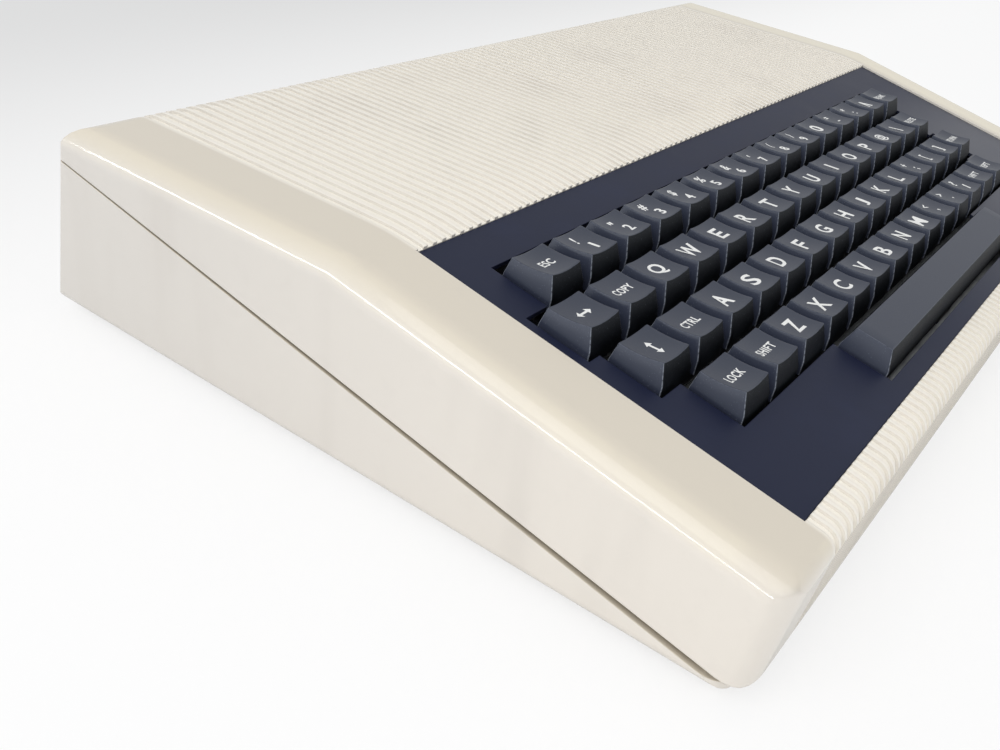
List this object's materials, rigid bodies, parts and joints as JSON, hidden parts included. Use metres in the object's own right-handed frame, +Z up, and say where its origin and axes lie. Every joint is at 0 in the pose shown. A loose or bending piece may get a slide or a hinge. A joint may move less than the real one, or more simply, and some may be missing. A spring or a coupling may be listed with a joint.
{
  "type": "home computer",
  "caption": "Wedge-shaped home computer in two cream case halves with a ribbed top, a dark keyboard surround, sprung full-travel keys, boards and rear sockets.",
  "frame": {"origin": "middle of the base, on the surface that the feet stand on", "axes": "+X to the right along the keyboard, +Y to the rear, +Z up"},
  "size_m": [0.381, 0.246, 0.0635],
  "materials": {
    "case_cream": "fine satin moulded surface",
    "surround_navy": "dark navy satin sheet",
    "keycap_grey": "fine matt, double-shot",
    "legend_white": "second shot of the keycaps",
    "plate_steel": "passivated sheet",
    "switch_plastic": "plain moulded",
    "board_green": "coated glass fibre board",
    "cable_grey": "flat cable",
    "chip_black": "moulded package",
    "can_metal": "tinned can",
    "capacitor_sleeve": "shrunk sleeve",
    "sink_aluminium": "plain bent sheet",
    "socket_black": "moulded",
    "connector_grey": "moulded",
    "foot_rubber": "soft",
    "screw_steel": "plated"
  },
  "bodies": {
    "case": {"upper_shell": "case_cream", "lower_shell": "case_cream", "keyboard_surround": "surround_navy", "key_mounting_plate": "plate_steel", "switch_housings": "switch_plastic", "keyboard_board": "board_green", "space_bar_guides": "switch_plastic", "keyboard_link": "cable_grey", "main_board": "board_green", "large_chips": "chip_black", "memory_chips": "chip_black", "logic_chips": "chip_black", "crystal": "can_metal", "capacitors": "capacitor_sleeve", "voltage_regulators": "chip_black", "heat_sink": "sink_aluminium", "video_modulator": "can_metal", "cassette_socket": "socket_black", "power_inlet": "socket_black", "bus_connector": "connector_grey", "printer_connector": "connector_grey", "loudspeaker": "socket_black", "rubber_feet": "foot_rubber", "case_screws": "screw_steel", "board_screws": "screw_steel"},
    "key_escape": {"key_escape": "keycap_grey"},
    "key_1": {"key_1": "keycap_grey"},
    "key_2": {"key_2": "keycap_grey"},
    "key_3": {"key_3": "keycap_grey"},
    "key_4": {"key_4": "keycap_grey"},
    "key_5": {"key_5": "keycap_grey"},
    "key_6": {"key_6": "keycap_grey"},
    "key_break": {"key_break": "keycap_grey"},
    "key_sideways": {"key_sideways": "keycap_grey"},
    "key_copy": {"key_copy": "keycap_grey"},
    "key_q": {"key_q": "keycap_grey"},
    "key_w": {"key_w": "keycap_grey"},
    "key_e": {"key_e": "keycap_grey"},
    "key_r": {"key_r": "keycap_grey"},
    "key_t": {"key_t": "keycap_grey"},
    "key_upright": {"key_upright": "keycap_grey"},
    "key_ctrl": {"key_ctrl": "keycap_grey"},
    "key_a": {"key_a": "keycap_grey"},
    "key_s": {"key_s": "keycap_grey"},
    "key_d": {"key_d": "keycap_grey"},
    "key_f": {"key_f": "keycap_grey"},
    "key_g": {"key_g": "keycap_grey"},
    "key_return": {"key_return": "keycap_grey"},
    "key_lock": {"key_lock": "keycap_grey"},
    "key_shift": {"key_shift": "keycap_grey"},
    "key_z": {"key_z": "keycap_grey"},
    "key_x": {"key_x": "keycap_grey"},
    "key_c": {"key_c": "keycap_grey"},
    "key_v": {"key_v": "keycap_grey"},
    "key_b": {"key_b": "keycap_grey"},
    "keys_7_to_caret": {"keys_7_to_caret": "keycap_grey"},
    "keys_y_to_delete": {"keys_y_to_delete": "keycap_grey"},
    "keys_h_to_bracket": {"keys_h_to_bracket": "keycap_grey"},
    "keys_n_to_repeat": {"keys_n_to_repeat": "keycap_grey"},
    "key_space": {"key_space": "keycap_grey"}
  },
  "joints": [
    {"name": "key_escape_press", "type": "slide", "parent": "case", "child": "key_escape", "axis": [0, 0.1771, -0.9842], "range_m": [0, 0.0038], "stiffness_N_per_m": 80, "springref_m": -0.0075},
    {"name": "key_1_press", "type": "slide", "parent": "case", "child": "key_1", "axis": [0, 0.1771, -0.9842], "range_m": [0, 0.0038], "stiffness_N_per_m": 80, "springref_m": -0.0075},
    {"name": "key_2_press", "type": "slide", "parent": "case", "child": "key_2", "axis": [0, 0.1771, -0.9842], "range_m": [0, 0.0038], "stiffness_N_per_m": 80, "springref_m": -0.0075},
    {"name": "key_3_press", "type": "slide", "parent": "case", "child": "key_3", "axis": [0, 0.1771, -0.9842], "range_m": [0, 0.0038], "stiffness_N_per_m": 80, "springref_m": -0.0075},
    {"name": "key_4_press", "type": "slide", "parent": "case", "child": "key_4", "axis": [0, 0.1771, -0.9842], "range_m": [0, 0.0038], "stiffness_N_per_m": 80, "springref_m": -0.0075},
    {"name": "key_5_press", "type": "slide", "parent": "case", "child": "key_5", "axis": [0, 0.1771, -0.9842], "range_m": [0, 0.0038], "stiffness_N_per_m": 80, "springref_m": -0.0075},
    {"name": "key_6_press", "type": "slide", "parent": "case", "child": "key_6", "axis": [0, 0.1771, -0.9842], "range_m": [0, 0.0038], "stiffness_N_per_m": 80, "springref_m": -0.0075},
    {"name": "key_break_press", "type": "slide", "parent": "case", "child": "key_break", "axis": [0, 0.1771, -0.9842], "range_m": [0, 0.0038], "stiffness_N_per_m": 80, "springref_m": -0.0075},
    {"name": "key_sideways_press", "type": "slide", "parent": "case", "child": "key_sideways", "axis": [0, 0.1771, -0.9842], "range_m": [0, 0.0038], "stiffness_N_per_m": 80, "springref_m": -0.0075},
    {"name": "key_copy_press", "type": "slide", "parent": "case", "child": "key_copy", "axis": [0, 0.1771, -0.9842], "range_m": [0, 0.0038], "stiffness_N_per_m": 80, "springref_m": -0.0075},
    {"name": "key_q_press", "type": "slide", "parent": "case", "child": "key_q", "axis": [0, 0.1771, -0.9842], "range_m": [0, 0.0038], "stiffness_N_per_m": 80, "springref_m": -0.0075},
    {"name": "key_w_press", "type": "slide", "parent": "case", "child": "key_w", "axis": [0, 0.1771, -0.9842], "range_m": [0, 0.0038], "stiffness_N_per_m": 80, "springref_m": -0.0075},
    {"name": "key_e_press", "type": "slide", "parent": "case", "child": "key_e", "axis": [0, 0.1771, -0.9842], "range_m": [0, 0.0038], "stiffness_N_per_m": 80, "springref_m": -0.0075},
    {"name": "key_r_press", "type": "slide", "parent": "case", "child": "key_r", "axis": [0, 0.1771, -0.9842], "range_m": [0, 0.0038], "stiffness_N_per_m": 80, "springref_m": -0.0075},
    {"name": "key_t_press", "type": "slide", "parent": "case", "child": "key_t", "axis": [0, 0.1771, -0.9842], "range_m": [0, 0.0038], "stiffness_N_per_m": 80, "springref_m": -0.0075},
    {"name": "key_upright_press", "type": "slide", "parent": "case", "child": "key_upright", "axis": [0, 0.1771, -0.9842], "range_m": [0, 0.0038], "stiffness_N_per_m": 80, "springref_m": -0.0075},
    {"name": "key_ctrl_press", "type": "slide", "parent": "case", "child": "key_ctrl", "axis": [0, 0.1771, -0.9842], "range_m": [0, 0.0038], "stiffness_N_per_m": 80, "springref_m": -0.0075},
    {"name": "key_a_press", "type": "slide", "parent": "case", "child": "key_a", "axis": [0, 0.1771, -0.9842], "range_m": [0, 0.0038], "stiffness_N_per_m": 80, "springref_m": -0.0075},
    {"name": "key_s_press", "type": "slide", "parent": "case", "child": "key_s", "axis": [0, 0.1771, -0.9842], "range_m": [0, 0.0038], "stiffness_N_per_m": 80, "springref_m": -0.0075},
    {"name": "key_d_press", "type": "slide", "parent": "case", "child": "key_d", "axis": [0, 0.1771, -0.9842], "range_m": [0, 0.0038], "stiffness_N_per_m": 80, "springref_m": -0.0075},
    {"name": "key_f_press", "type": "slide", "parent": "case", "child": "key_f", "axis": [0, 0.1771, -0.9842], "range_m": [0, 0.0038], "stiffness_N_per_m": 80, "springref_m": -0.0075},
    {"name": "key_g_press", "type": "slide", "parent": "case", "child": "key_g", "axis": [0, 0.1771, -0.9842], "range_m": [0, 0.0038], "stiffness_N_per_m": 80, "springref_m": -0.0075},
    {"name": "key_return_press", "type": "slide", "parent": "case", "child": "key_return", "axis": [0, 0.1771, -0.9842], "range_m": [0, 0.0038], "stiffness_N_per_m": 80, "springref_m": -0.0075},
    {"name": "key_lock_press", "type": "slide", "parent": "case", "child": "key_lock", "axis": [0, 0.1771, -0.9842], "range_m": [0, 0.0038], "stiffness_N_per_m": 80, "springref_m": -0.0075},
    {"name": "key_shift_press", "type": "slide", "parent": "case", "child": "key_shift", "axis": [0, 0.1771, -0.9842], "range_m": [0, 0.0038], "stiffness_N_per_m": 80, "springref_m": -0.0075},
    {"name": "key_z_press", "type": "slide", "parent": "case", "child": "key_z", "axis": [0, 0.1771, -0.9842], "range_m": [0, 0.0038], "stiffness_N_per_m": 80, "springref_m": -0.0075},
    {"name": "key_x_press", "type": "slide", "parent": "case", "child": "key_x", "axis": [0, 0.1771, -0.9842], "range_m": [0, 0.0038], "stiffness_N_per_m": 80, "springref_m": -0.0075},
    {"name": "key_c_press", "type": "slide", "parent": "case", "child": "key_c", "axis": [0, 0.1771, -0.9842], "range_m": [0, 0.0038], "stiffness_N_per_m": 80, "springref_m": -0.0075},
    {"name": "key_v_press", "type": "slide", "parent": "case", "child": "key_v", "axis": [0, 0.1771, -0.9842], "range_m": [0, 0.0038], "stiffness_N_per_m": 80, "springref_m": -0.0075},
    {"name": "key_b_press", "type": "slide", "parent": "case", "child": "key_b", "axis": [0, 0.1771, -0.9842], "range_m": [0, 0.0038], "stiffness_N_per_m": 80, "springref_m": -0.0075},
    {"name": "keys_7_to_caret_press", "type": "slide", "parent": "case", "child": "keys_7_to_caret", "axis": [0, 0.1771, -0.9842], "range_m": [0, 0.0038], "stiffness_N_per_m": 560, "springref_m": -0.0075},
    {"name": "keys_y_to_delete_press", "type": "slide", "parent": "case", "child": "keys_y_to_delete", "axis": [0, 0.1771, -0.9842], "range_m": [0, 0.0038], "stiffness_N_per_m": 640, "springref_m": -0.0075},
    {"name": "keys_h_to_bracket_press", "type": "slide", "parent": "case", "child": "keys_h_to_bracket", "axis": [0, 0.1771, -0.9842], "range_m": [0, 0.0038], "stiffness_N_per_m": 560, "springref_m": -0.0075},
    {"name": "keys_n_to_repeat_press", "type": "slide", "parent": "case", "child": "keys_n_to_repeat", "axis": [0, 0.1771, -0.9842], "range_m": [0, 0.0038], "stiffness_N_per_m": 560, "springref_m": -0.0075},
    {"name": "key_space_press", "type": "slide", "parent": "case", "child": "key_space", "axis": [0, 0.1771, -0.9842], "range_m": [0, 0.0038], "stiffness_N_per_m": 80, "springref_m": -0.0075}
  ]
}
